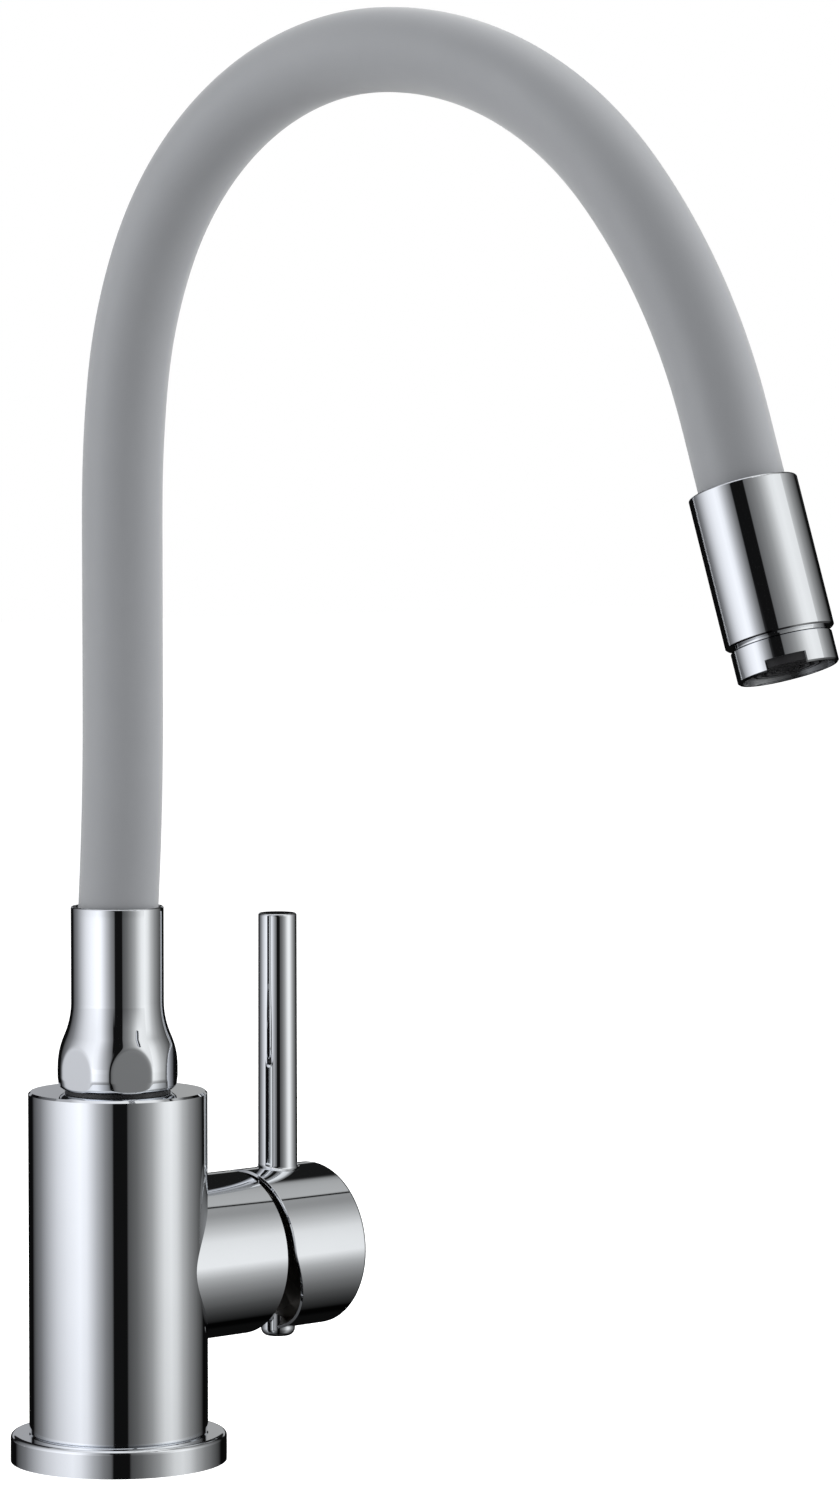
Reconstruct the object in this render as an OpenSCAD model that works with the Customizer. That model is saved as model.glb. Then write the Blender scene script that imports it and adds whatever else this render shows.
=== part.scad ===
// Single-lever kitchen tap with a side valve and a flexible arched spout.
// Origin at the centre of the foot on the deck, +Z up, +X along the valve,
// and the spout swings about Z from its rest just off the -Y side.

/* [Body] */
// Diameter of the base ring on the deck
base_d = 58; // [56:0.5:64]
// Height of the base ring
base_h = 7.5; // [6:0.5:10]
// Diameter of the upright body
body_d = 48; // [46:0.5:51]
// Height of the body's flat top above the deck
body_top = 99.4; // [97:0.2:108]
// Diameter of the foot inside the base ring
foot_d = 43.6; // [42:0.2:44.6]
// Chamfer round the body's edges
edge = 0.6; // [0.2:0.1:1]

/* [Deck connections] */
// Minor diameter of the threaded hole for the fixing stud
stud_hole_d = 6.8; // [5:0.1:8.5]
// Depth of the fixing stud's hole
stud_hole_depth = 18; // [12:1:22]
// Minor diameter of the two threaded water inlets
inlet_d = 8.9; // [8:0.1:10]
// Depth of the inlet threads
inlet_depth = 12; // [9:1:16]
// Distance of each inlet from the valve's plane
inlet_y = 9; // [8.7:0.1:9.4]
// Distance of the inlets behind the body's axis
inlet_back = 3; // [2:0.5:5]
// Diameter of the hot and cold waterways
waterway_d = 6; // [4:0.5:7]
// Diameter of the mixed waterway up to the spout
riser_way_d = 9; // [8:0.5:10]

/* [Side valve] */
// Height of the valve's axis above the deck
valve_z = 51.9; // [49:0.2:54]
// Outer diameter of the valve housing and of the handle cap
valve_d = 44.6; // [43.6:0.2:46]
// Distance from the body's axis to the open end of the housing
housing_end = 41.2; // [40.6:0.2:44]
// Distance from the body's axis to the floor of the cartridge bore
bore_floor = 12; // [11:0.2:13]
// Diameter of the bore that holds the cartridge
bore_d = 35.2; // [34.6:0.1:36]
// Diameter of the threaded mouth for the retaining nut
mouth_d = 38.4; // [37.8:0.1:40]
// Length of the cartridge behind its shoulder
cartridge_len = 21.6; // [21:0.2:23]
// Distance from the body's axis to the lever's pivot pin
pivot_s = 36.5; // [36:0.1:37.4]

/* [Handle] */
// Distance from the body's axis to the cap's rear edge
cap_rear = 43; // [42.4:0.1:44]
// Distance from the body's axis to the cap's flat end
cap_end = 69.4; // [66:0.2:74]
// Slope of the cap's cut-away lower rear, which lets it tilt
cap_cut_angle = 22; // [18:0.5:25]
// Depth of the cap's hollow, from the body's axis to its floor
cap_floor = 51.7; // [51:0.1:52.4]
// Wall of the hollow part of the cap
cap_wall = 2.1; // [1.5:0.1:2.6]
// Distance from the body's axis to the lever rod
rod_s = 56.2; // [56:0.2:60]
// Diameter of the lever rod where it leaves the cap
rod_d = 10.8; // [9:0.1:12]
// Diameter of the lever rod at its tip
rod_tip_d = 10.5; // [8:0.1:12]
// Height of the lever rod's tip above the deck
rod_top = 144; // [110:0.5:170]
// Diameter of the plug in the cap's underside
plug_d = 9.4; // [8:0.1:10.4]
// How far that plug stands out of the cap
plug_proud = 2.4; // [0.5:0.1:3]
// Tilt of the lever from shut to full flow
lift_max = 23; // [18:0.5:24]

/* [Neck collar] */
// Diameter of the collar's upper tube
neck_d = 24.8; // [23.8:0.1:26]
// Greatest diameter of the collar's foot
collar_d = 32.3; // [30.8:0.1:34]
// Height of the collar's rim above the deck
neck_top = 149; // [144:0.5:156]
// Height of the swept shoulder between tube and foot
shoulder_h = 18; // [14:0.5:22]
// Distance across the six wrench flats
flats = 30.2; // [29:0.1:31.4]
// Turn of the wrench flats about the collar's axis
flats_turn = 27; // [0:1:59]
// Thickness of the sliding washer under the collar
washer_t = 0.6; // [0.4:0.1:1.2]
// Diameter of the post that the collar turns on
post_d = 18; // [17:0.1:18.4]

/* [Hose] */
// Outer diameter of the silicone sleeve
sleeve_d = 21.4; // [20:0.1:21.8]
// Outer diameter of the bendable conduit inside the sleeve
conduit_d = 14; // [13:0.1:15]
// Wall of the bendable conduit
conduit_wall = 1.8; // [1.2:0.1:2]
// Outer diameter of the water tube inside the conduit
water_tube_d = 8; // [7:0.1:8.2]
// Wall of the water tube
water_tube_wall = 1.2; // [0.8:0.1:1.6]
// Swing of the spout about the body at rest, from square to the valve
spout_yaw = 8; // [-40:1:40]
// Straight rise of the hose above its small lean
rise_len = 52; // [40:1:80]
// Radius of the first gentle bend of the arch
lift_off_r = 286; // [200:1:350]
// Radius of the bend into the shoulder
entry_r = 117; // [100:1:150]
// Radius of the tight shoulder
shoulder_r = 84; // [75:0.5:100]
// Radius over the crown
crown_r = 104.5; // [90:0.5:125]
// Radius of the drop to the head
drop_r = 162; // [140:1:190]
// Straight length of hose before the head's rim
tail_len = 18; // [10:0.5:30]

/* [Spout head] */
// Outer diameter of the head
head_d = 26.8; // [26:0.1:28]
// Length of the head's plain barrel
head_len = 37.7; // [36:0.1:46]
// Outer diameter of the ring that holds the flow shaper
ring_d = 24.9; // [24.4:0.1:25.8]
// Height of that ring below the shadow gap
ring_h = 7.9; // [7:0.1:9]
// Shadow gap between the head and the ring
ring_gap = 0.8; // [0.5:0.1:1.2]
// Wall of that ring round its open mouth
ring_wall = 1.1; // [0.8:0.1:1.6]
// Width of the key notch in the ring
notch_w = 10; // [6:0.5:11]
// Height of the key notch
notch_h = 2.8; // [2:0.1:4]
// Turn of the notch about the head's axis
notch_turn = 234; // [0:1:359]

/* [Hidden] */
$fn = 96;

// Clearances
running = 0.05;      // radial play of a shaft that turns
slip = 0.1;          // radial play of a piece that slides in by hand
seat = 0.05;         // gap between flat faces that move past each other
loose = 0.3;         // gap round soft or moving pieces
eps = 0.01;          // overlap of a cutter past a face
lap = 1;             // overlap of joined solids and of deep cutters

// Foot
foot_r = foot_d / 2;
gasket_t = 1.5;
gasket_inset = 2;
gasket_w = 2.6;
gasket_out = base_d / 2 - gasket_inset;
gasket_in = gasket_out - gasket_w;
base_round = 1.2;
fine_edge = 0.4;

// Swivel
socket_h = 12;
post_thread_r = post_d / 2 + 1;
post_bore_r = 5;
washer_top = body_top + washer_t;
collar_bore_r = post_d / 2 + running;
post_rise = 22;
post_top = body_top + post_rise;
web_h = 5;
web_bottom = post_top + lap;
web_top = web_bottom + web_h;
socket_relief = 0.4;
o_ring_t = 1.42;
o_ring_squeeze = 0.02;
o_ring_rise = 5.6;
o_ring_pitch = 5.5;
o_ring_z = [body_top + o_ring_rise, body_top + o_ring_rise + o_ring_pitch];
snap_rise = 17.6;
snap_z = body_top + snap_rise;
snap_h = 1.2;
snap_out = post_d / 2 + 0.9;
snap_in = post_d / 2 - 0.8;
snap_split = 4;
snap_play = 0.2;
sleeve_gap = 0.6;
neck_bore_r = sleeve_d / 2 + sleeve_gap;
washer_inset = 2;
collar_foot_h = 5.5;
foot_taper = 1.6;
foot_taper_h = 3.4;
foot_lip = 0.4;
foot_lip_h = 0.9;
neck_round = 0.5;

// Fittings at the two ends of the hose
flange_h = 2;
nipple_h = 8;
spigot_r = 7;
spigot_h = 4.8;
conduit_bore_r = conduit_d / 2 - conduit_wall;
nipple_r = conduit_bore_r - slip;
tube_bore_r = water_tube_d / 2 - water_tube_wall;
tube_pocket_r = water_tube_d / 2 + slip / 2;
hose_start = web_top + flange_h;
fitting_len = nipple_h + flange_h + spigot_h;
bend_angle = 5.6;
lean_r = 140;
lean_len = 11;
upright_r = 730;

// Hose route: each run is [bend radius, turn], radius 0 marks a straight length,
// and a negative turn bends back towards the body
hose_runs = [
    [0, nipple_h], [lean_r, 3.5], [0, lean_len], [upright_r, -3.5], [0, rise_len],
    [lift_off_r, 7], [entry_r, 17.5], [shoulder_r, 66], [crown_r, 48.5],
    [drop_r, 23.5], [0, tail_len + nipple_h]
];
head_socket = nipple_h;

// Head, measured down its own axis from the rim
head_bore_r = sleeve_d / 2 + sleeve_gap;
head_flange = head_socket + seat;
head_web = head_flange + flange_h;
flow_way_h = 4;
washer_seat = head_web + web_h + flow_way_h;
flow_thread_r = ring_d / 2 - 1;
flow_way_r = flow_thread_r - 1.5;
flow_washer_in = flow_thread_r - 2.6;
head_round = 0.5;
flow_washer_h = 2;
flow_top = washer_seat + flow_washer_h;
ring_top = head_len + ring_gap;
ring_bottom = ring_top + ring_h;
insert_r = flow_thread_r - 1.9;
screen_h = 0.8;
screen_hub_r = 1.2;
screen_hole_r = 0.75;
screen_row = 2.9;
screen_pitch = 2.5;
rib = 1.1;
rib_h = 4.4;
ring_rib_h = 6;
insert_wall = 1.2;
insert_recess = 0.9;
mouth_r = ring_d / 2 - ring_wall;
mouth_top = ring_top + 2.2;

// Valve, measured along +X from the body's axis
valve_r = valve_d / 2;
cart_r = bore_d / 2 - slip;
base_len = 5;
disc_seat = bore_floor + base_len;
disc_h = 3.6;
slide_face = disc_seat + disc_h;
carrier_back = slide_face + seat + disc_h;
carrier_len = 4.4;
case_bore_r = cart_r - 1.9;
case_wall = 1.9;
shoulder_s = bore_floor + cartridge_len;
guide_back = carrier_back + carrier_len + loose;
guide_flange = shoulder_s - case_wall - seat - guide_back;
guide_neck_r = 9.5;
guide_end = pivot_s + 7;
case_neck_r = 13;
case_neck_len = 5.4;
nut_len = 6;
nut_slot_w = 3.2;
nut_slot_h = 2;
nut_end = shoulder_s + nut_len;
dome_end = housing_end + 3.8;
dome_r = 15;
dome_wall = 1.2;
dome_round = 1.5;
dome_bore_r = guide_neck_r + 1.4;
ball_r = 2.6;
ball_s = 27;
socket_half = ball_r + 0.15;
ball_reach = pivot_s - ball_s;
slide_travel = ball_reach * sin(lift_max);
disc_r = case_bore_r - slide_travel / 2 - 2 * slip;
stem_w = 8;
stem_arm_r = 2;
stem_block = pivot_s - 5;
stem_end = rod_s + 7.6;
pin_r = 1.75;
pin_press = 0.02;
pin_len = 2 * guide_neck_r - 0.4;
slot_half = 7.4;
port_rise = 4;
mixed_drop = 7;
seal_ring_r = waterway_d / 2 + 1.15;
seal_wire_r = 0.57;
seal_groove = 0.65;
seal_depth = 1.2;
disc_port_r = 1.9;
disc_mixed_r = 2.6;
recess_r = 7.8;
recess_low_r = 6;
recess_low = 5;
recess_depth = disc_h - 1;

// Handle
cap_round = 1.1;
cut_in = 0.35;
stem_gap = 1;
tenon_r = 4;
tenon_z = stem_w / 2 + stem_gap;
rod_seat_z = valve_r - 3.5;
grub_r = 3;
grub_len = 8;
hex_key_r = 1.7;
hex_key_h = 3;
plug_r = plug_d / 2;
plug_round = 1.8;
plug_seat_z = valve_r - 6;

// Places children on the valve's axis, their own +Z along the valve
module along_valve(s = 0) {
    translate([s, 0, valve_z]) rotate([0, 90, 0]) children();
}

// Round ring or tube standing on the XY plane
module ring(r_out, r_in, h) {
    difference() {
        cylinder(r = r_out, h = h);
        translate([0, 0, -eps]) cylinder(r = r_in, h = h + 2 * eps);
    }
}

// Half profile of a drum from the axis to r, with a chamfer at the bottom and the top
module drum_profile(r, h, low = 0, high = 0) {
    polygon([[0, 0], [r - low, 0], [r, low], [r, h - high], [r - high, h], [0, h]]);
}

// Half profile of a drum with a rounded top edge
module rounded_profile(r, h, round) {
    square([r - round, h]);
    square([r, h - round]);
    translate([r - round, h - round]) circle(r = round);
}

// Two tangent arcs that carry a half profile from r_low up to the slimmer r_high,
// the lower one in n chords so that flats can be cut across it
module ogee_profile(r_low, r_high, h, n = 8) {
    sweep = 2 * atan((r_low - r_high) / h);
    arc_r = h / (2 * sin(sweep));
    polygon(concat([[0, 0]],
        [for (i = [0:n]) [r_low - arc_r + arc_r * cos(sweep * i / n), arc_r * sin(sweep * i / n)]],
        [[0, h / 2]]));
    difference() {
        translate([0, h / 2 - eps]) square([(r_low + r_high) / 2, h / 2 + eps]);
        translate([r_high + arc_r, h]) circle(r = arc_r);
    }
}

// Places children on the hot and cold ports of the cartridge
module at_side_ports(s) {
    for (side = [-1, 1]) along_valve(s) translate([-port_rise, side * inlet_y, 0]) children();
}

// Places children on the mixed port below them
module at_mixed_port(s) {
    along_valve(s) translate([mixed_drop, 0, 0]) children();
}

// Places children on all three ports
module at_ports(s) {
    at_side_ports(s) children();
    at_mixed_port(s) children();
}

// End of a run that starts at st: [across, up, lean from upright]
function run_end(st, run) =
    run[0] == 0 ? [st[0] + run[1] * sin(st[2]), st[1] + run[1] * cos(st[2]), st[2]]
                : bend_end(st, sign(run[1]) * run[0], st[2] + run[1]);
function bend_end(st, r, lean) =
    [st[0] + r * (cos(st[2]) - cos(lean)), st[1] + r * (sin(lean) - sin(st[2])), lean];

// Stations along one run after its start, a bend in steps of about bend_angle degrees
function run_stations(st, run) =
    let (n = run[0] == 0 ? 1 : ceil(abs(run[1]) / bend_angle))
        [for (k = [1:n]) run_end(st, run[0] == 0 ? run : [run[0], run[1] * k / n])];

// Stations of the whole route from run i on, starting at st
function route_stations(st, i = 0) =
    i == len(hose_runs) ? []
    : concat(run_stations(st, hose_runs[i]), route_stations(run_end(st, hose_runs[i]), i + 1));

// Circle of n points with radius r, square to the route at station st
function hose_circle(st, r, n) =
    [for (k = [0:n - 1]) let (a = 360 * k / n)
        [st[0] + r * cos(a) * cos(st[2]), r * sin(a), st[1] - r * cos(a) * sin(st[2])]];

// Triangles between circle i and circle j of n points, turned out or in
function band(i, j, n, out) =
    [for (k = [0:n - 1], half = [0, 1]) let (q = (k + 1) % n,
        t = half == 0 ? [i * n + k, i * n + q, j * n + q] : [i * n + k, j * n + q, j * n + k])
        out ? [t[0], t[2], t[1]] : t];

// A tube of n sides swept along the whole route of the hose
module hose_tube(r_out, r_in, n) {
    stations = concat([[0, 0, 0]], route_stations([0, 0, 0]));
    m = len(stations);
    points = [for (r = [r_out, r_in], st = stations) each hose_circle(st, r, n)];
    walls = [for (i = [0:m - 2]) each concat(band(i, i + 1, n, true), band(m + i, m + i + 1, n, false))];
    ends = concat(band(0, m, n, false), band(m - 1, 2 * m - 1, n, true));
    polyhedron(points, concat(walls, ends), convexity = 10);
}

// Moves children to the end of the hose
module past_hose() {
    stations = route_stations([0, 0, 0]);
    last = stations[len(stations) - 1];
    translate([last[0], 0, last[1]]) rotate([0, last[2], 0]) children();
}

// Turns children, drawn with the arch in their XZ plane, to the spout's place
module spout_frame() {
    rotate([0, 0, spout_yaw - 90]) children();
}

// Places children on the hose's start in the neck
module at_hose_start() {
    spout_frame() translate([0, 0, hose_start]) children();
}

// Places children on the head's axis, +Z down out of the head, 0 at the head's rim
module at_head() {
    at_hose_start() past_hose() translate([0, 0, -head_socket]) children();
}

module base_ring() {
    color("gainsboro") difference() {
        rotate_extrude() rounded_profile(base_d / 2, base_h, base_round);
        translate([0, 0, -eps]) cylinder(r = foot_r + seat, h = base_h + 2 * eps);
        translate([0, 0, -eps]) ring(gasket_out, gasket_in, gasket_t + eps);
    }
}

module deck_gasket() {
    color("dimgray") ring(gasket_out - slip, gasket_in + slip, gasket_t - seat);
}

module body_shell() {
    color("silver") difference() {
        union() {
            translate([0, 0, base_h + seat])
                rotate_extrude() drum_profile(body_d / 2, body_top - base_h - seat, fine_edge, edge);
            cylinder(r = foot_r, h = base_h + lap);
            along_valve() rotate_extrude() drum_profile(valve_r, housing_end, 0, fine_edge);
        }
        // cartridge bore and threaded mouth
        along_valve(bore_floor) cylinder(r = bore_d / 2, h = housing_end);
        along_valve(shoulder_s) cylinder(r = mouth_d / 2, h = housing_end);
        // deck side
        translate([0, 0, -eps]) cylinder(r = stud_hole_d / 2, h = stud_hole_depth + eps);
        for (side = [-1, 1]) translate([-inlet_back, side * inlet_y, -eps]) {
            cylinder(r = inlet_d / 2, h = inlet_depth + eps);
            cylinder(r = waterway_d / 2, h = valve_z + port_rise + eps);
        }
        at_side_ports(-inlet_back) cylinder(r = waterway_d / 2, h = bore_floor + inlet_back + eps);
        // mixed water, up to the swivel
        at_mixed_port(0) cylinder(r = waterway_d / 2, h = bore_floor + eps);
        translate([0, 0, valve_z - mixed_drop - waterway_d / 2])
            cylinder(r = riser_way_d / 2, h = body_top);
        translate([0, 0, body_top - socket_h]) cylinder(r = post_thread_r, h = socket_h + eps);
    }
}

module swivel_post() {
    color("goldenrod") difference() {
        union() {
            translate([0, 0, body_top - socket_h])
                cylinder(r = post_thread_r - seat, h = socket_h - socket_relief);
            translate([0, 0, body_top - lap]) cylinder(r = post_d / 2, h = post_rise + lap);
        }
        translate([0, 0, body_top - socket_h - eps]) cylinder(r = post_bore_r, h = post_top);
        for (z = o_ring_z)
            translate([0, 0, z - o_ring_t / 2 - slip])
                ring(post_d, post_d / 2 - o_ring_t, o_ring_t + 2 * slip);
        translate([0, 0, snap_z - snap_h / 2 - slip]) ring(post_d, snap_in - seat, snap_h + 2 * slip);
    }
}

module swivel_o_rings() {
    color("black") for (z = o_ring_z)
        translate([0, 0, z]) rotate_extrude()
            translate([post_d / 2 - o_ring_t / 2, 0]) circle(r = o_ring_t / 2 - o_ring_squeeze, $fn = 32);
}

module sliding_washer() {
    color("black") translate([0, 0, body_top])
        ring(collar_d / 2 - washer_inset, post_d / 2 + slip, washer_t - seat);
}

// Split ring that holds the collar down on its post
module snap_ring() {
    color("slategray") difference() {
        translate([0, 0, snap_z - snap_h / 2]) ring(snap_out, snap_in, snap_h);
        translate([0, -snap_split / 2, snap_z - snap_h]) cube([post_d, snap_split, 2 * snap_h]);
    }
}

module collar_profile() {
    foot_r = collar_d / 2;
    tube_z = washer_top + collar_foot_h + shoulder_h - eps;
    translate([0, washer_top]) {
        polygon([[0, 0], [foot_r - foot_taper, 0], [foot_r - foot_lip, foot_lip_h], [foot_r, foot_taper_h],
                 [foot_r, collar_foot_h], [0, collar_foot_h]]);
        translate([0, collar_foot_h]) ogee_profile(foot_r, neck_d / 2, shoulder_h);
    }
    translate([0, tube_z]) rounded_profile(neck_d / 2, neck_top - tube_z, neck_round);
}

module neck_collar() {
    color("silver") spout_frame() difference() {
        rotate_extrude() collar_profile();
        translate([0, 0, body_top]) cylinder(r = collar_bore_r, h = web_bottom - body_top);
        translate([0, 0, body_top]) cylinder(r = spigot_r + seat, h = neck_top);
        translate([0, 0, web_top]) cylinder(r = neck_bore_r, h = neck_top);
        translate([0, 0, snap_z - snap_h / 2 - snap_play])
            cylinder(r = snap_out + snap_play, h = snap_h + 2 * snap_play);
        for (i = [0:5]) rotate([0, 0, flats_turn + 60 * i])
            translate([flats / 2, -collar_d / 2, washer_top - lap])
                cube([collar_d, collar_d, collar_foot_h + shoulder_h]);
    }
}

// Brass end of the hose: screwed spigot below, nipple above, the water tube inside
module end_fitting(flange_r) {
    difference() {
        union() {
            translate([0, 0, -flange_h - spigot_h]) cylinder(r = spigot_r, h = spigot_h + lap);
            translate([0, 0, -flange_h]) cylinder(r = flange_r, h = flange_h);
            translate([0, 0, -eps]) cylinder(r = nipple_r, h = nipple_h - loose);
        }
        translate([0, 0, -flange_h - spigot_h - eps]) cylinder(r = tube_bore_r, h = fitting_len);
        cylinder(r = tube_pocket_r, h = fitting_len);
    }
}

module hose_tail() {
    color("goldenrod") at_hose_start() end_fitting(neck_bore_r - slip);
}

module hose_conduit() {
    color("lightslategray") at_hose_start() hose_tube(conduit_d / 2, conduit_bore_r, 24);
}

module water_tube() {
    color("ivory") at_hose_start() hose_tube(water_tube_d / 2, tube_bore_r, 16);
}

module hose_sleeve() {
    color("darkgray") at_hose_start() hose_tube(sleeve_d / 2, conduit_d / 2 + slip, 36);
}

module head_nipple() {
    color("goldenrod") at_head() translate([0, 0, head_flange]) rotate([180, 0, 0])
        end_fitting(head_bore_r - slip);
}

module head_barrel() {
    color("silver") at_head() difference() {
        union() {
            mirror([0, 0, 1]) translate([0, 0, -head_len / 2])
                rotate_extrude() rounded_profile(head_d / 2, head_len / 2, head_round);
            translate([0, 0, head_len / 2 - eps])
                rotate_extrude() drum_profile(head_d / 2, head_len / 2 + eps, 0, fine_edge);
        }
        translate([0, 0, -lap]) cylinder(r = head_bore_r, h = head_web + lap);
        cylinder(r = spigot_r + seat, h = head_len);
        translate([0, 0, head_web + web_h]) cylinder(r = flow_way_r, h = head_len);
        translate([0, 0, washer_seat]) cylinder(r = flow_thread_r + seat, h = head_len);
    }
}

module flow_washer() {
    color("dimgray") at_head() translate([0, 0, washer_seat])
        ring(flow_thread_r - slip, flow_washer_in, flow_washer_h);
}

module flow_screen() {
    color("lightgray") at_head() translate([0, 0, flow_top])
        difference() {
            ring(insert_r + lap, screen_hub_r, screen_h);
            for (row = [0:2], i = [0:5 + 6 * row])
                rotate([0, 0, i * 60 / (row + 1)]) translate([screen_row + screen_pitch * row, 0, -lap])
                    cylinder(r = screen_hole_r, h = screen_h + 2 * lap, $fn = 24);
        }
}

// Plastic flow shaper: a flanged cup whose open end holds ribbed rings
module flow_insert() {
    top = flow_top + screen_h;
    face = ring_bottom - insert_recess;
    color("dimgray") at_head() {
        translate([0, 0, top]) ring(insert_r, insert_r - insert_wall, face - top);
        translate([0, 0, mouth_top + seat])
            ring(mouth_r - seat, insert_r - insert_wall / 2, face - mouth_top - seat);
        translate([0, 0, face - ring_rib_h]) {
            for (k = [1:3]) ring(k * insert_r / 4 + rib / 2, k * insert_r / 4 - rib / 2, ring_rib_h);
            translate([0, 0, lap]) difference() {
                for (i = [0:5]) rotate([0, 0, 60 * i]) translate([0, -rib / 2, 0])
                    cube([insert_r - insert_wall / 2, rib, rib_h]);
                translate([0, 0, -lap]) cylinder(r = insert_r / 4, h = ring_rib_h + lap);
            }
        }
    }
}

module flow_ring() {
    color("silver") at_head() difference() {
        union() {
            translate([0, 0, flow_top + screen_h]) cylinder(r = flow_thread_r, h = ring_top - flow_top);
            translate([0, 0, ring_top])
                rotate_extrude() drum_profile(ring_d / 2, ring_h, fine_edge, fine_edge);
        }
        cylinder(r = insert_r + seat, h = ring_bottom + lap);
        translate([0, 0, mouth_top]) cylinder(r = mouth_r, h = ring_h);
        rotate([0, 0, notch_turn])
            translate([mouth_r - lap, -notch_w / 2, ring_bottom - notch_h]) cube([ring_d, notch_w, ring_h]);
    }
}

module cartridge_base() {
    color("white") difference() {
        along_valve(bore_floor) cylinder(r = cart_r, h = base_len);
        at_ports(bore_floor - eps) {
            cylinder(r = waterway_d / 2, h = base_len + lap);
            ring(seal_ring_r + seal_groove, seal_ring_r - seal_groove, seal_depth);
        }
    }
}

module port_seals() {
    color("black") at_ports(bore_floor + seal_depth / 2)
        rotate_extrude() translate([seal_ring_r, 0]) circle(r = seal_wire_r, $fn = 32);
}

module fixed_disc() {
    color("ghostwhite") difference() {
        along_valve(disc_seat) cylinder(r = case_bore_r - slip, h = disc_h);
        at_side_ports(disc_seat - lap) cylinder(r = disc_port_r, h = disc_h + 2 * lap);
        at_mixed_port(disc_seat - lap) cylinder(r = disc_mixed_r, h = disc_h + 2 * lap);
    }
}

// The moving disc and its carrier rest low, so that the lever's travel centres them
module at_slider(s) {
    along_valve(s) translate([slide_travel / 2, 0, 0]) children();
}

// The recess joins the ports: shut, its round part lies just inside the hot and cold
// ports at any turn of the lever, and lifting the lever raises it over them
module moving_disc() {
    color("whitesmoke") difference() {
        at_slider(slide_face + seat) cylinder(r = disc_r, h = disc_h);
        along_valve(slide_face) cylinder(r = recess_r, h = recess_depth);
        along_valve(slide_face) translate([recess_low, 0, 0]) cylinder(r = recess_low_r, h = recess_depth);
    }
}

module disc_carrier() {
    color("khaki") difference() {
        at_slider(carrier_back) cylinder(r = disc_r, h = carrier_len);
        along_valve(ball_s - socket_half) translate([-socket_half, -socket_half, 0])
            cube([2 * socket_half, 2 * socket_half, guide_end]);
    }
}

module cartridge_case() {
    color("lightsteelblue") difference() {
        union() {
            along_valve(disc_seat) cylinder(r = cart_r, h = shoulder_s - disc_seat);
            along_valve(shoulder_s - eps) cylinder(r = case_neck_r, h = case_neck_len);
        }
        along_valve(disc_seat - lap) cylinder(r = case_bore_r, h = shoulder_s - case_wall - disc_seat + lap);
        along_valve(disc_seat) cylinder(r = guide_neck_r + running, h = cap_end);
    }
}

module lever_guide() {
    color("khaki") difference() {
        union() {
            along_valve(guide_back) cylinder(r = case_bore_r - loose, h = guide_flange);
            along_valve(guide_back) cylinder(r = guide_neck_r, h = guide_end - guide_back);
        }
        along_valve(guide_back - lap) translate([-slot_half, -stem_w / 2 - slip, 0])
            cube([2 * slot_half, stem_w + 2 * slip, guide_end]);
        translate([pivot_s, 0, valve_z]) rotate([90, 0, 0])
            cylinder(r = pin_r + pin_press, h = 4 * guide_neck_r, center = true);
    }
}

module pivot_pin() {
    color("lightslategray") translate([pivot_s, 0, valve_z]) rotate([90, 0, 0])
        cylinder(r = pin_r, h = pin_len, center = true);
}

module lever_stem() {
    color("lightgray") difference() {
        union() {
            translate([ball_s, 0, valve_z]) sphere(r = ball_r, $fn = 48);
            along_valve(ball_s) cylinder(r = stem_arm_r, h = stem_block - ball_s + lap);
            translate([stem_block, -stem_w / 2, valve_z - stem_w / 2])
                cube([stem_end - stem_block, stem_w, stem_w]);
        }
        translate([pivot_s, 0, valve_z]) rotate([90, 0, 0])
            cylinder(r = pin_r + running, h = 4 * stem_w, center = true);
    }
}

module retaining_nut() {
    color("goldenrod") difference() {
        along_valve(shoulder_s) ring(mouth_d / 2 - slip, case_neck_r + slip, nut_len);
        for (turn = [0, 60, 120]) along_valve(nut_end - nut_slot_h) rotate([0, 0, turn])
            translate([-mouth_d, -nut_slot_w / 2, 0]) cube([2 * mouth_d, nut_slot_w, nut_len]);
    }
}

// Bright dome that closes the housing's mouth round the lever guide
module trim_dome() {
    lip_h = housing_end - nut_end;
    color("silver") along_valve(nut_end) difference() {
        rotate_extrude() difference() {
            union() {
                translate([dome_bore_r, 0]) square([mouth_d / 2 - slip - dome_bore_r, lip_h]);
                translate([0, lip_h - eps]) rounded_profile(dome_r, dome_end - housing_end + eps, dome_round);
            }
            translate([-lap, -lap]) square([dome_bore_r + lap, dome_end]);
            translate([0, -lap]) square([dome_r - dome_wall, dome_end - nut_end - dome_wall + lap]);
        }
    }
}

module handle_cap() {
    cap_len = cap_end - cap_rear;
    color("silver") difference() {
        along_valve(cap_rear) rotate_extrude() difference() {
            union() {
                translate([0, cap_len / 2]) rounded_profile(valve_r, cap_len / 2, cap_round);
                drum_profile(valve_r, cap_len / 2 + eps, fine_edge, 0);
            }
            translate([-lap, -lap]) square([valve_r - cap_wall + lap, cap_floor - cap_rear + lap]);
        }
        // lower rear cut away at a slope
        translate([cap_rear + cut_in, -valve_d, valve_z]) rotate([0, -cap_cut_angle, 0])
            translate([-valve_d, 0, -2 * valve_d]) cube([valve_d, 2 * valve_d, 2 * valve_d]);
        // square socket for the stem
        translate([cap_floor - lap, -stem_w / 2 - slip, valve_z - stem_w / 2 - slip])
            cube([stem_end - cap_floor + lap + loose, stem_w + 2 * slip, stem_w + 2 * slip]);
        // lever rod above, grub screw and plug below
        translate([rod_s, 0, valve_z]) {
            cylinder(r = tenon_r + slip, h = valve_d);
            translate([0, 0, rod_seat_z]) cylinder(r = rod_d / 2 + seat, h = valve_d);
            mirror([0, 0, 1]) cylinder(r = grub_r + slip, h = valve_d);
            mirror([0, 0, 1]) translate([0, 0, plug_seat_z]) cylinder(r = plug_r + seat, h = valve_d);
        }
    }
}

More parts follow.
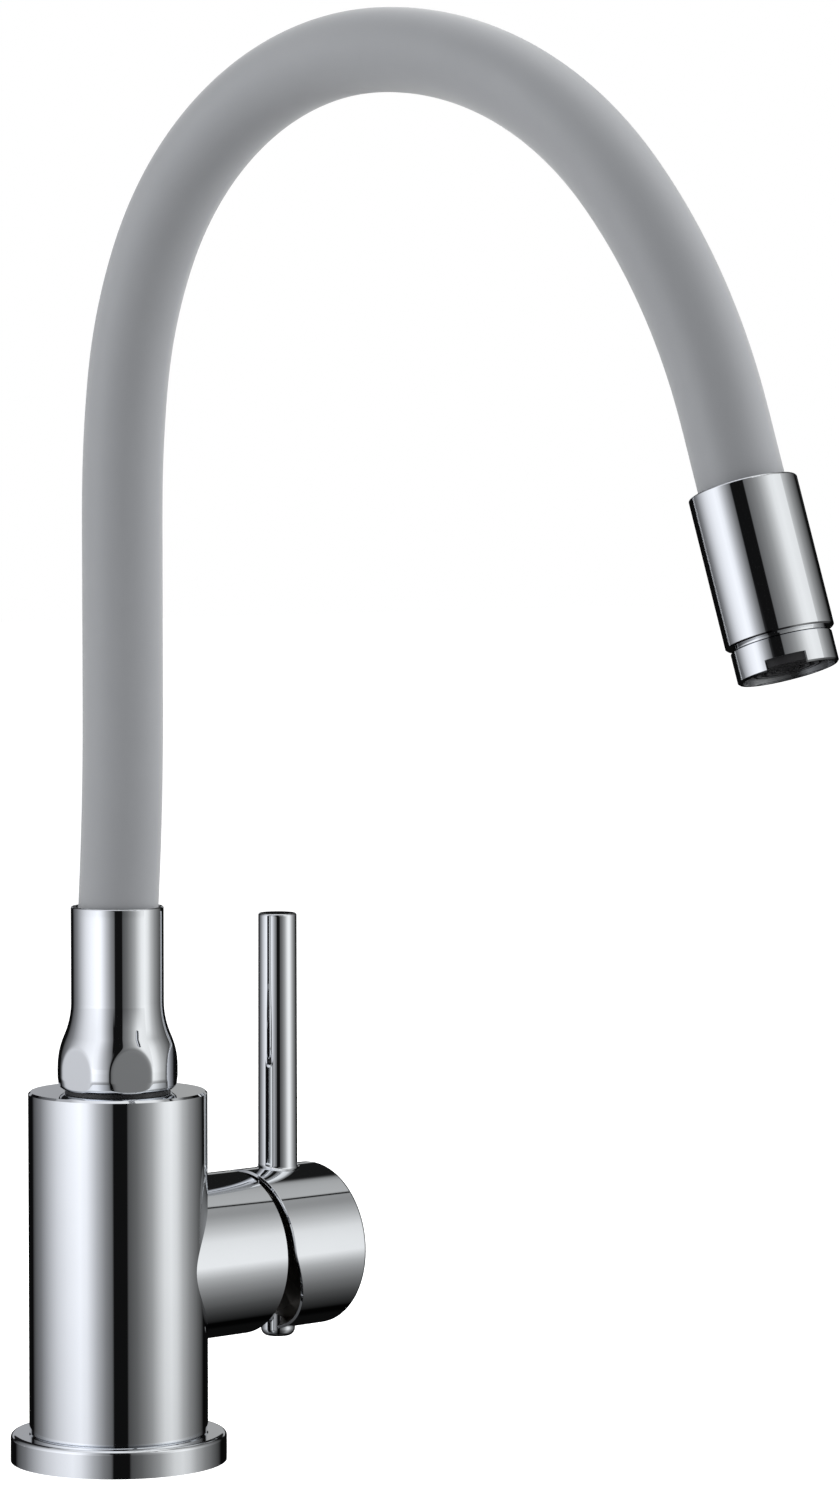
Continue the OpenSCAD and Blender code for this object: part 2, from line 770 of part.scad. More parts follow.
module lever_rod() {
    rod_len = rod_top - valve_z - rod_seat_z;
    color("silver") translate([rod_s, 0, valve_z]) {
        translate([0, 0, tenon_z]) cylinder(r = tenon_r, h = rod_seat_z - tenon_z + lap);
        translate([0, 0, rod_seat_z]) rotate_extrude()
            polygon([[0, 0], [rod_d / 2, 0], [rod_tip_d / 2, rod_len - edge],
                     [rod_tip_d / 2 - edge, rod_len], [0, rod_len]]);
    }
}

module grub_screw() {
    color("dimgray") translate([rod_s, 0, valve_z - stem_w / 2 - slip - grub_len]) difference() {
        cylinder(r = grub_r, h = grub_len);
        translate([0, 0, -eps]) cylinder(r = hex_key_r, h = hex_key_h, $fn = 6);
    }
}

module cap_plug() {
    plug_h = valve_r + plug_proud - plug_seat_z;
    color("silver") translate([rod_s, 0, valve_z - plug_seat_z]) mirror([0, 0, 1])
        rotate_extrude() rounded_profile(plug_r, plug_h, plug_round);
}

base_ring();
deck_gasket();
body_shell();
swivel_post();
swivel_o_rings();
sliding_washer();
snap_ring();
neck_collar();
hose_tail();
hose_conduit();
water_tube();
hose_sleeve();
head_nipple();
head_barrel();
flow_washer();
flow_screen();
flow_insert();
flow_ring();
cartridge_base();
port_seals();
fixed_disc();
moving_disc();
disc_carrier();
cartridge_case();
lever_guide();
pivot_pin();
lever_stem();
retaining_nut();
trim_dome();
handle_cap();
lever_rod();
grub_screw();
cap_plug();
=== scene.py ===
import logging
import math
from collections.abc import Callable, Mapping, Sequence
from dataclasses import dataclass, field, replace
from enum import Enum
from functools import cache

import bpy
import numpy as np
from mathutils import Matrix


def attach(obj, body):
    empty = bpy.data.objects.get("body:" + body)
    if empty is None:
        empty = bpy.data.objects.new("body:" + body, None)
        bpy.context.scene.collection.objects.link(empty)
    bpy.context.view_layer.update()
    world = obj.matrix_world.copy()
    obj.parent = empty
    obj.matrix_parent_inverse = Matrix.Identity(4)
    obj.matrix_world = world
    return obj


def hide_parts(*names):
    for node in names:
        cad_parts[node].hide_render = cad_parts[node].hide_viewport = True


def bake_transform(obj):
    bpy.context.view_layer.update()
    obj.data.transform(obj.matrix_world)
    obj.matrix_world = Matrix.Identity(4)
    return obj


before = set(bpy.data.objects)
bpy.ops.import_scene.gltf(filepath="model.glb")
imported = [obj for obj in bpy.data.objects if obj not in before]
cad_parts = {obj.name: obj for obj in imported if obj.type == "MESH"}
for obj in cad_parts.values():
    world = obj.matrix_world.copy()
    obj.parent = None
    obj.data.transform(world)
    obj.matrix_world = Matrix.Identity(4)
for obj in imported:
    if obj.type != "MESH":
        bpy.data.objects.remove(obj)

LOG = logging.getLogger("kitchen_tap")
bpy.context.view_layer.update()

MM = 0.001
Triple = tuple[float, float, float]
Colour = tuple[float, float, float]
Stops = tuple[tuple[float, float], ...]
Corner = tuple[float | np.ndarray, float | np.ndarray]

# Sizes that several pieces share. Lengths are in millimetres and turns in degrees, as in the
# classes below, apart from the studio.
SPOUT_YAW = 8.0
VALVE_Z = 51.9
VALVE_R = 22.3
ROD_S = 56.2

# Spans of the surroundings' ramps: azimuths in degrees, and sines of a ray's height
ROUND = (-180.0, 180.0)
SINES = (-1.0, 1.0)
WHITE: Colour = (1.0, 1.0, 1.0)


class Role(Enum):
    """The moving body that a piece rides on, by its name in the CAD model."""

    SPOUT = "spout"
    HEAD = "head"
    LEVER = "lever"


@dataclass(frozen=True)
class Placement:
    """A local frame in the tap's frame: its origin, its own X and its own Z, in millimetres."""

    origin: Triple = (0.0, 0.0, 0.0)
    across: Triple = (1.0, 0.0, 0.0)
    out: Triple = (0.0, 0.0, 1.0)

    def place(self, points: np.ndarray) -> np.ndarray:
        """Carries local points into the tap's frame.

        Formula: origin + x * across + y * (out x across) + z * out.

        Args:
            points: Array whose last axis holds local x, y, z.

        Returns:
            Array of the same shape in the tap's frame.
        """
        across, out = np.array(self.across), np.array(self.out)
        basis = np.stack([across, np.cross(out, across), out])
        return np.array(self.origin) + points @ basis


@dataclass(frozen=True)
class Grid:
    """A surface as a grid of points: rows run along its profile, columns close round it."""

    points: np.ndarray
    loop: bool = False
    pole_start: bool = False
    pole_end: bool = False


def polar_columns(count: int) -> np.ndarray:
    """Evenly spaced angles round a circle, in radians, without the closing one."""
    return np.arange(count) * (2.0 * math.pi / count)


def unit(vectors: np.ndarray) -> np.ndarray:
    """Vectors divided by their lengths, zero ones left alone."""
    length = np.linalg.norm(vectors, axis=-1, keepdims=True)
    return vectors / np.where(length < 1e-9, 1.0, length)


def rounded_profile(
    corners: Sequence[Corner],
    rounds: Sequence[float],
    steps: int = 5,
    hold: float = 0.12,
) -> np.ndarray:
    """Profile rows through corners, with each rounded corner a true arc.

    Formula: an arc of radius q between two straight runs starts q * tan(turn / 2) before the
    corner and ends as far after it, and its points turn evenly about the arc's centre. A
    point stands hold beyond each end, so that shading stays flat on the straight runs.

    Args:
        corners: Radius and height of each corner, one number or one for each column.
        rounds: Radius of each corner, 0 for a sharp one and at both ends.
        steps: Pieces in each arc.
        hold: Distance of the extra point beyond an arc's end.

    Returns:
        Array (rows, columns, 2).
    """
    pairs = [np.stack(np.broadcast_arrays(*map(np.atleast_1d, c)), axis=-1) for c in corners]
    points = np.stack(np.broadcast_arrays(*pairs)).astype(float)
    rows: list[np.ndarray] = []
    for i, radius in enumerate(rounds):
        here = points[i]
        if radius == 0:
            rows.append(here)
            continue
        d_in, d_out = unit(here - points[i - 1]), unit(points[i + 1] - here)
        cross = d_in[:, 0] * d_out[:, 1] - d_in[:, 1] * d_out[:, 0]
        turn = np.arctan2(cross, np.sum(d_in * d_out, axis=1))
        reach = radius * np.tan(np.abs(turn) / 2.0)
        side = np.sign(turn)[:, None] * np.stack([-d_in[:, 1], d_in[:, 0]], axis=1)
        start = here - d_in * reach[:, None]
        centre = start + side * radius
        rows.append(start - d_in * hold)
        x, y = (start - centre).T
        for k in range(steps + 1):
            c, s = np.cos(turn * k / steps), np.sin(turn * k / steps)
            rows.append(centre + np.stack([c * x - s * y, s * x + c * y], axis=1))
        rows.append(here + d_out * (reach[:, None] + hold))
    return np.stack(rows)


def revolve(profile: np.ndarray, angles: np.ndarray) -> np.ndarray:
    """Turns profile rows about the local Z axis.

    Formula: x = r cos a, y = r sin a, z = h for each row's radius r and height h.

    Args:
        profile: Array (rows, columns or 1, 2) of radius and height.
        angles: Angle of each column in radians.

    Returns:
        Array (rows, columns, 3).
    """
    radius = np.broadcast_to(profile[..., 0], (len(profile), len(angles)))
    height = np.broadcast_to(profile[..., 1], radius.shape)
    return np.stack([radius * np.cos(angles), radius * np.sin(angles), height], axis=-1)


def add_object(name: str, data: bpy.types.ID) -> bpy.types.Object:
    """Makes an object at the world's origin and links it into the scene.

    Args:
        name: The object's name.
        data: Its mesh, lamp or camera.

    Returns:
        The object.
    """
    made = bpy.data.objects.new(name, data)
    bpy.context.scene.collection.objects.link(made)
    return made


def smooth_ramp(values: np.ndarray, width: float) -> np.ndarray:
    """A ramp that is 0 below 0 and rises at slope 1 above it, rounded over width.

    Formula: (v + sqrt(v^2 + width^2)) / 2.
    """
    return 0.5 * (values + np.sqrt(values * values + width * width))


@dataclass
class Piece:
    """One visible object: built out of grids, then handed to the frame.

    Shaded faces are a darker finish that paints shade on some of its faces, and a test that tells
    for face centres (n, 3) in millimetres which ones they are.
    """

    name: str
    finish: "Finish"
    body: Role
    shaded_faces: tuple["Finish", Callable[[np.ndarray], np.ndarray]] | None = None
    grids: list[Grid] = field(default_factory=list)

    def add(self, grid: Grid, placement: Placement = Placement()) -> "Piece":
        """Adds one surface, placed in the tap's frame."""
        self.grids.append(replace(grid, points=placement.place(grid.points)))
        return self

    @staticmethod
    def _faces(grid: Grid) -> tuple[np.ndarray, list[list[int]]]:
        """Numbers the points of a grid and lists its faces.

        Formula: face (i, j) joins points (i, j), (i, j+1), (i+1, j+1), (i+1, j), with the last
        column joined to the first, and a pole row is one point with a fan of triangles.

        Args:
            grid: The surface.

        Returns:
            The points (n, 3) and the faces as lists of point numbers.
        """
        rows, columns = grid.points.shape[:2]
        number = np.arange(rows * columns).reshape(rows, columns)
        if grid.pole_start:
            number[0] = number[0, 0]
        if grid.pole_end:
            number[-1] = number[-1, 0]
        low = number if grid.loop else number[:-1]
        high = np.roll(number, -1, axis=0) if grid.loop else number[1:]
        corners = [low, np.roll(low, -1, axis=1), np.roll(high, -1, axis=1), high]
        quads = np.stack(corners, axis=-1).reshape(-1, 4)
        used, compact = np.unique(quads, return_inverse=True)
        compact = compact.reshape(quads.shape)
        faces = [list(dict.fromkeys(face)) for face in compact.tolist()]
        return grid.points.reshape(-1, 3)[used], [face for face in faces if len(face) > 2]

    @staticmethod
    def _volume(points: np.ndarray, faces: list[list[int]]) -> float:
        """Signed volume that the faces enclose, positive where they point outwards.

        Formula: a sixth of the sum of a . (b x c) over the triangles a, b, c of each face.

        Args:
            points: The points (n, 3).
            faces: The faces as lists of point numbers.

        Returns:
            The volume in cubic millimetres.
        """
        first = np.array([f[:3] for f in faces])
        second = np.array([[f[0], f[2], f[3]] for f in faces if len(f) == 4])
        total = 0.0
        for t in (first, second):
            if len(t):
                a, b, c = points[t[:, 0]], points[t[:, 1]], points[t[:, 2]]
                total += float(np.einsum("ij,ij->i", a, np.cross(b, c)).sum()) / 6.0
        return total

    def make(self, replaces: Sequence[str] = (), ride: bool = True,
             crisp: float = 38.0) -> bpy.types.Object:
        """Makes the object, smooth except where it turns by more than crisp degrees.

        Args:
            replaces: CAD nodes that the piece stands for.
            ride: Whether it rides rigidly on its body; False leaves it on no body.
            crisp: Angle above which an edge stays sharp.

        Returns:
            The finished object at the world's origin.
        """
        points: list[np.ndarray] = []
        faces: list[list[int]] = []
        start = 0
        for grid in self.grids:
            own, own_faces = self._faces(grid)
            if self._volume(own, own_faces) < 0:
                own_faces = [face[::-1] for face in own_faces]
            points.append(own)
            faces.extend([[start + i for i in face] for face in own_faces])
            start += len(own)
        mesh = bpy.data.meshes.new(self.name)
        mesh.from_pydata((np.concatenate(points) * MM).tolist(), [], faces)
        mesh.polygons.foreach_set("use_smooth", np.ones(len(mesh.polygons), bool))
        mesh.set_sharp_from_angle(angle=math.radians(crisp))
        mesh.materials.append(self.finish.material())
        # The faces that the test picks take the second finish, which paints their shade.
        if self.shaded_faces:
            finish, inside = self.shaded_faces
            mesh.materials.append(finish.material())
            centres = np.array([polygon.center for polygon in mesh.polygons]) / MM
            mesh.polygons.foreach_set("material_index", inside(centres).astype(np.int32))
        mesh.update()
        piece = add_object(self.name, mesh)
        if replaces:
            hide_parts(*replaces)
        if ride:
            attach(piece, self.body.value)
        LOG.info("%s: %d faces", self.name, len(mesh.polygons))
        return piece


class Graph:
    """A node tree with short ways to add nodes and join them."""

    def __init__(self, tree: bpy.types.NodeTree) -> None:
        """Keeps the tree that the nodes go into."""
        self.tree = tree

    def feed(self, node: bpy.types.Node, given: Mapping[str | int, object]) -> None:
        """Fills inputs of a node.

        Args:
            node: The node.
            given: For each input, by name or number, the socket to link or the value to set.
        """
        for label, value in given.items():
            if isinstance(value, bpy.types.NodeSocket):
                self.tree.links.new(value, node.inputs[label])
            else:
                node.inputs[label].default_value = value

    def add(self, kind: str, given: Mapping[str | int, object] | None = None,
            **settings: object) -> bpy.types.Node:
        """Adds a node, sets its properties and fills its inputs.

        Args:
            kind: The node's type without the prefix that all shader nodes share.
            given: What each input gets, as in feed.
            settings: Value of each property, such as the operation.

        Returns:
            The node.
        """
        node = self.tree.nodes.new(f"ShaderNode{kind}")
        for label, value in settings.items():
            setattr(node, label, value)
        self.feed(node, given or {})
        return node

    def maths(self, operation: str, first: bpy.types.NodeSocket,
              second: bpy.types.NodeSocket | float = 0.0) -> bpy.types.NodeSocket:
        """An operation on one or two values, as the socket of its result."""
        return self.add("Math", {0: first, 1: second}, operation=operation).outputs["Value"]

    def mix(self, factor: bpy.types.NodeSocket | float, first: object, second: object,
            blend: str = "MIX") -> bpy.types.NodeSocket:
        """Two colours mixed.

        Args:
            factor: Share of the second colour.
            first: The first colour, a socket or a triple.
            second: The second colour, a socket or a triple.
            blend: How the node blends them.

        Returns:
            The socket of the result.
        """
        a, b = (opaque(c) if isinstance(c, tuple) else c for c in (first, second))
        node = self.add("Mix", data_type="RGBA", blend_type=blend)
        self.feed(node, {"Factor": factor, "A": a, "B": b})
        return node.outputs["Result"]

    def ramp(self, stops: Stops, value: bpy.types.NodeSocket,
             span: tuple[float, float]) -> bpy.types.NodeSocket:
        """A grey ramp read at a value.

        Args:
            stops: Value and grey of each stop, in rising order.
            value: The socket that the ramp is read at.
            span: The values at the ramp's two ends.

        Returns:
            The socket of the grey.
        """
        low, high = span
        share = self.add("MapRange", {"Value": value, "From Min": low, "From Max": high})
        ramp = self.add("ValToRGB", {"Fac": share.outputs["Result"]})
        marks = ramp.color_ramp.elements
        for _ in range(len(stops) - 2):
            marks.new(0.5)
        for mark, (place, grey) in zip(marks, stops):
            mark.position = (place - low) / (high - low)
            mark.color = opaque((grey, grey, grey))
        return ramp.outputs["Color"]


def opaque(colour: Colour) -> tuple[float, float, float, float]:
    """The colour with full alpha."""
    return (*colour, 1.0)


def start_group(name: str, inputs: Sequence[tuple[str, str, object]],
                output: tuple[str, str]) -> tuple[Graph, Mapping, bpy.types.Node]:
    """Opens a new shader group with its sockets.

    Args:
        name: The group's name.
        inputs: Name, kind of socket and value of each input after the place, Vector.
        output: Name and kind of socket of the output.

    Returns:
        The group, the sockets of what it is given, and its output node.
    """
    tree = bpy.data.node_groups.new(name, "ShaderNodeTree")
    for label, kind, value in (("Vector", "Vector", (0.0, 0.0, 0.0)), *inputs):
        socket = tree.interface.new_socket(
            name=label, in_out="INPUT", socket_type=f"NodeSocket{kind}")
        socket.default_value = value
    label, kind = output
    tree.interface.new_socket(name=label, in_out="OUTPUT", socket_type=f"NodeSocket{kind}")
    given = tree.nodes.new("NodeGroupInput").outputs
    return Graph(tree), given, tree.nodes.new("NodeGroupOutput")


class NodeGroups:
    """Shader groups that several finishes share, each built once."""

    @staticmethod
    @cache
    def tone_drift() -> bpy.types.NodeTree:
        """Two close colours that drift into each other in slow clouds with fine mottling.

        Returns:
            The group's node tree.
        """
        graph, given, result = start_group(
            "tone_drift",
            [("Color A", "Color", (0.5, 0.5, 0.5, 1.0)), ("Color B", "Color", (0.4, 0.4, 0.4, 1.0)),
             ("Scale", "Float", 20.0)],
            ("Color", "Color"))
        cloud = graph.add("TexNoise", {"Vector": given["Vector"], "Scale": given["Scale"],
                                       "Detail": 5.0, "Roughness": 0.62})
        spread = graph.add("MapRange", {"Value": cloud.outputs["Fac"],
                                        "From Min": 0.32, "From Max": 0.68})
        tone = graph.mix(spread.outputs["Result"], given["Color A"], given["Color B"])
        graph.feed(result, {"Color": tone})
        return graph.tree

    @staticmethod
    @cache
    def wipe_marks() -> bpy.types.NodeTree:
        """Roughness that rises in faint long smears, as a cloth leaves them.

        Returns:
            The group's node tree.
        """
        graph, given, result = start_group(
            "wipe_marks",
            [("Scale", "Float", 30.0), ("Stretch", "Vector", (1.0, 1.0, 0.25)),
             ("Low", "Float", 0.1), ("High", "Float", 0.2)],
            ("Roughness", "Float"))
        stretch = graph.add("VectorMath", {0: given["Vector"], 1: given["Stretch"]},
                            operation="MULTIPLY")
        smear = graph.add("TexNoise", {"Vector": stretch.outputs["Vector"],
                                       "Scale": given["Scale"], "Detail": 4.0, "Distortion": 0.6})
        spread = graph.add("MapRange", {"Value": smear.outputs["Fac"], "From Min": 0.35,
                                        "From Max": 0.7, "To Min": given["Low"],
                                        "To Max": given["High"]})
        graph.feed(result, {"Roughness": spread.outputs["Result"]})
        return graph.tree

    @staticmethod
    @cache
    def fine_grain() -> bpy.types.NodeTree:
        """Height of a fine grain over a slower wave, for a Bump node.

        Returns:
            The group's node tree.
        """
        graph, given, result = start_group(
            "fine_grain",
            [("Grain Scale", "Float", 900.0), ("Wave Scale", "Float", 60.0),
             ("Wave Share", "Float", 0.4)],
            ("Height", "Float"))
        grain = graph.add("TexNoise", {"Vector": given["Vector"], "Scale": given["Grain Scale"],
                                       "Detail": 3.0})
        wave = graph.add("TexNoise", {"Vector": given["Vector"], "Scale": given["Wave Scale"],
                                      "Detail": 1.0})
        both = graph.add("Mix", {"Factor": given["Wave Share"], "A": grain.outputs["Fac"],
                                 "B": wave.outputs["Fac"]})
        graph.feed(result, {"Height": both.outputs["Result"]})
        return graph.tree

    @staticmethod
    @cache
    def lathe_lines() -> bpy.types.NodeTree:
        """Height of fine turned rings, close together along the axis of the greatest stretch.

        Returns:
            The group's node tree.
        """
        graph, given, result = start_group(
            "lathe_lines", [("Stretch", "Vector", (20.0, 20.0, 1800.0))], ("Height", "Float"))
        stretch = graph.add("VectorMath", {0: given["Vector"], 1: given["Stretch"]},
                            operation="MULTIPLY")
        rings = graph.add("TexNoise", {"Vector": stretch.outputs["Vector"],
                                       "Scale": 1.0, "Detail": 2.0})
        graph.feed(result, {"Height": rings.outputs["Fac"]})
        return graph.tree


class Texture(Enum):
    """How a finish breaks up its surface: a grain, or rings turned about one axis."""

    GRAIN = "grain"
    TURNED_Z = "turned_z"
    TURNED_X = "turned_x"


# How much closer the noise of turned rings lies along each axis
RING_STRETCH: dict[Texture, Triple] = {
    Texture.TURNED_Z: (20.0, 20.0, 1800.0), Texture.TURNED_X: (1800.0, 20.0, 20.0)}


@dataclass(frozen=True)
class Finish:
    """One procedural finish: two close colours, a roughness range and a surface texture."""

    name: str
    slot: str
    colour: Colour
    drift: Colour
    rough_low: float
    rough_high: float
    metallic: float = 0.0
    drift_scale: float = 25.0
    smear_scale: float = 40.0
    texture: Texture = Texture.GRAIN
    grain_scale: float = 900.0
    wave_scale: float = 60.0
    wave_share: float = 0.3
    bump_mm: float = 0.01
    bump_strength: float = 0.2
    sheen: float = 0.0
    coat: float = 0.0

    def material(self) -> bpy.types.Material:
        """The finish as a material, made on first use.

        Returns:
            The material.
        """
        known = bpy.data.materials.get(self.name)
        if known:
            return known
        material = bpy.data.materials.new(self.name)
        material.use_nodes = True
        graph = Graph(material.node_tree)
        place = graph.add("TexCoord").outputs["Object"]
        drift = graph.add("Group", {
            "Vector": place, "Color A": opaque(self.colour), "Color B": opaque(self.drift),
            "Scale": self.drift_scale}, node_tree=NodeGroups.tone_drift())
        smear = graph.add("Group", {
            "Vector": place, "Scale": self.smear_scale, "Low": self.rough_low,
            "High": self.rough_high}, node_tree=NodeGroups.wipe_marks())
        if self.texture is Texture.GRAIN:
            relief = graph.add("Group", {
                "Vector": place, "Grain Scale": self.grain_scale, "Wave Scale": self.wave_scale,
                "Wave Share": self.wave_share}, node_tree=NodeGroups.fine_grain())
        else:
            relief = graph.add("Group", {"Vector": place, "Stretch": RING_STRETCH[self.texture]},
                               node_tree=NodeGroups.lathe_lines())
        bump = graph.add("Bump", {
            "Height": relief.outputs["Height"], "Strength": self.bump_strength,
            "Distance": self.bump_mm * MM})
        graph.feed(material.node_tree.nodes["Principled BSDF"], {
            "Base Color": drift.outputs["Color"], "Roughness": smear.outputs["Roughness"],
            "Normal": bump.outputs["Normal"], "Metallic": self.metallic,
            "Sheen Weight": self.sheen, "Sheen Roughness": 0.5, "Coat Weight": self.coat})
        return material


CHROME = Finish("polished_chrome", "chrome", (0.90, 0.915, 0.94), (0.87, 0.885, 0.91), 0.02, 0.045,
                metallic=1.0, grain_scale=1500.0, wave_scale=22.0, wave_share=0.9,
                bump_mm=0.02, bump_strength=0.05)
# Chrome darkened to a brownish grey: painted shade for the cap's hollow and for the trim dome
# inside it.
SHADE_PAINTED_CHROME = Finish("painted_shade_inside", "chrome", (0.20, 0.185, 0.165), (0.15, 0.14, 0.125),
                     0.3, 0.42, metallic=1.0, texture=Texture.TURNED_X, bump_mm=0.02)
SILICONE = Finish("grey_silicone", "silicone", (0.206, 0.212, 0.223), (0.194, 0.200, 0.211),
                  0.50, 0.64, drift_scale=14.0, grain_scale=1600.0, wave_scale=120.0,
                  bump_mm=0.03, bump_strength=0.25, sheen=0.42)
CONDUIT = Finish("conduit_steel", "conduit", (0.55, 0.56, 0.57), (0.42, 0.43, 0.44), 0.28, 0.45,
                 metallic=1.0, bump_mm=0.02)
TUBE = Finish("milky_tube", "tube_plastic", (0.74, 0.74, 0.70), (0.68, 0.68, 0.65), 0.35, 0.5)
BRASS_Z = Finish("turned_brass_upright", "brass", (0.80, 0.60, 0.28), (0.72, 0.52, 0.23), 0.2, 0.35,
                 metallic=1.0, texture=Texture.TURNED_Z, bump_mm=0.02)
BRASS_X = Finish("turned_brass_valve", "brass", (0.80, 0.60, 0.28), (0.70, 0.50, 0.22), 0.2, 0.35,
                 metallic=1.0, texture=Texture.TURNED_X, bump_mm=0.02)
BLACK_RUBBER = Finish("black_rubber", "seal_rubber", (0.018, 0.018, 0.018), (0.028, 0.027, 0.026),
                      0.45, 0.62, grain_scale=2200.0, bump_mm=0.02)
STEEL_X = Finish("bright_steel", "steel", (0.62, 0.63, 0.65), (0.52, 0.53, 0.55), 0.2, 0.34,
                 metallic=1.0, texture=Texture.TURNED_X, bump_mm=0.015)
SCREEN_STEEL = Finish("screen_steel", "steel", (0.60, 0.61, 0.63), (0.48, 0.49, 0.50), 0.25, 0.4,
                      metallic=1.0, bump_mm=0.015)
BLACK_PLASTIC = Finish("black_moulding", "black_plastic", (0.016, 0.016, 0.017),
                       (0.026, 0.026, 0.028), 0.3, 0.45, grain_scale=1400.0, bump_mm=0.02)
PALE_PLASTIC = Finish("pale_moulding", "cartridge_plastic", (0.78, 0.75, 0.67), (0.70, 0.67, 0.60),
                      0.35, 0.5, grain_scale=1200.0, bump_mm=0.02)
CERAMIC = Finish("ground_ceramic", "ceramic", (0.86, 0.84, 0.79), (0.80, 0.78, 0.74), 0.08, 0.18,
                 grain_scale=2600.0, bump_mm=0.006, coat=0.3)

# Which CAD nodes each finish dresses
DRESSED: tuple[tuple[Finish, str], ...] = (
    (CHROME, "base_ring body_shell head_barrel flow_ring"),
    (CHROME, "neck_collar handle_cap lever_rod cap_plug"),
    # The trim dome sits in the cap's hollow and takes the dark chrome as painted shade.
    (SHADE_PAINTED_CHROME, "trim_dome"), (BRASS_Z, "swivel_post hose_tail head_nipple"),
    (BRASS_X, "retaining_nut"), (STEEL_X, "pivot_pin lever_stem"),
    (SCREEN_STEEL, "snap_ring flow_screen grub_screw"),
    (BLACK_RUBBER, "deck_gasket swivel_o_rings flow_washer port_seals"),
    (BLACK_PLASTIC, "flow_insert sliding_washer"), (CERAMIC, "fixed_disc moving_disc"),
    (PALE_PLASTIC, "cartridge_base cartridge_case disc_carrier lever_guide"),
    (SILICONE, "hose_sleeve"), (CONDUIT, "hose_conduit"), (TUBE, "water_tube"),
)


@dataclass
class HoseRoute:
    """The hose's centreline in the arch's own plane, as runs of bend radius and turn.

    A turn is in degrees, and a negative one bends back towards the body. Radius 0 marks a
    straight run, whose second number is its length.
    """

    runs: tuple[tuple[float, float], ...] = (
        (0, 8), (140, 3.5), (0, 11), (730, -3.5), (0, 52), (286, 7), (117, 17.5), (84, 66),
        (104.5, 48.5), (162, 23.5), (0, 26))
    step: float = 0.5
    easing: float = 16.0

    def lean_and_path(self) -> tuple[np.ndarray, np.ndarray]:
        """Works out the eased centreline.

        Formula: lean is the running sum of turn along the length, averaged over easing
        millimetres so that bends flow into each other, and the path is the running sum of
        (sin lean, cos lean). The small drift that this leaves at the end is spread evenly.

        Returns:
            Lean from upright in radians, and points (reach, rise) in millimetres.
        """
        leans, strides, start = [np.zeros(1)], [], 0.0
        for radius, turn in self.runs:
            length = turn if radius == 0 else radius * math.radians(abs(turn))
            count = max(2, round(length / self.step))
            finish = start if radius == 0 else start + math.radians(turn)
            leans.append(np.linspace(start, finish, count + 1)[1:])
            strides.append(np.full(count, length / count))
            start = finish
        lean, steps = np.concatenate(leans), np.concatenate(strides)
        half = int(self.easing / self.step / 2)
        padded = np.pad(lean, half, mode="edge")
        weights = np.hanning(2 * half + 3)[1:-1]
        eased = np.convolve(padded, weights / weights.sum(), mode="valid")
        exact, soft = (self._walk(a, steps) for a in (lean, eased))
        share = np.linspace(0.0, 1.0, len(lean))[:, None]
        return eased, soft + share * (exact[-1] - soft[-1])

    @staticmethod
    def _walk(lean: np.ndarray, steps: np.ndarray) -> np.ndarray:
        """Walks along the mean lean of each step.

        Formula: the running sum of step * (sin lean, cos lean), from zero.

        Args:
            lean: Lean from upright in radians at each point.
            steps: Length from each point to the next in millimetres.

        Returns:
            Points (reach, rise) in millimetres.
        """
        mean = 0.5 * (lean[1:] + lean[:-1])
        moves = np.stack([np.sin(mean), np.cos(mean)], axis=1) * steps[:, None]
        return np.concatenate([np.zeros((1, 2)), np.cumsum(moves, axis=0)])


def spout_direction() -> np.ndarray:
    """Unit vector of the arch's reach in the tap's frame."""
    yaw = math.radians(SPOUT_YAW - 90.0)
    return np.array([math.cos(yaw), math.sin(yaw), 0.0])


@dataclass
class HoseLayer:
    """One tube of the hose: its outer and inner radius and how it is finished."""

    name: str
    node: str
    finish: Finish
    outer: float
    inner: float
    columns: int
    stride: int
    ridge: float = 0.0
    ridge_pitch: float = 4.0


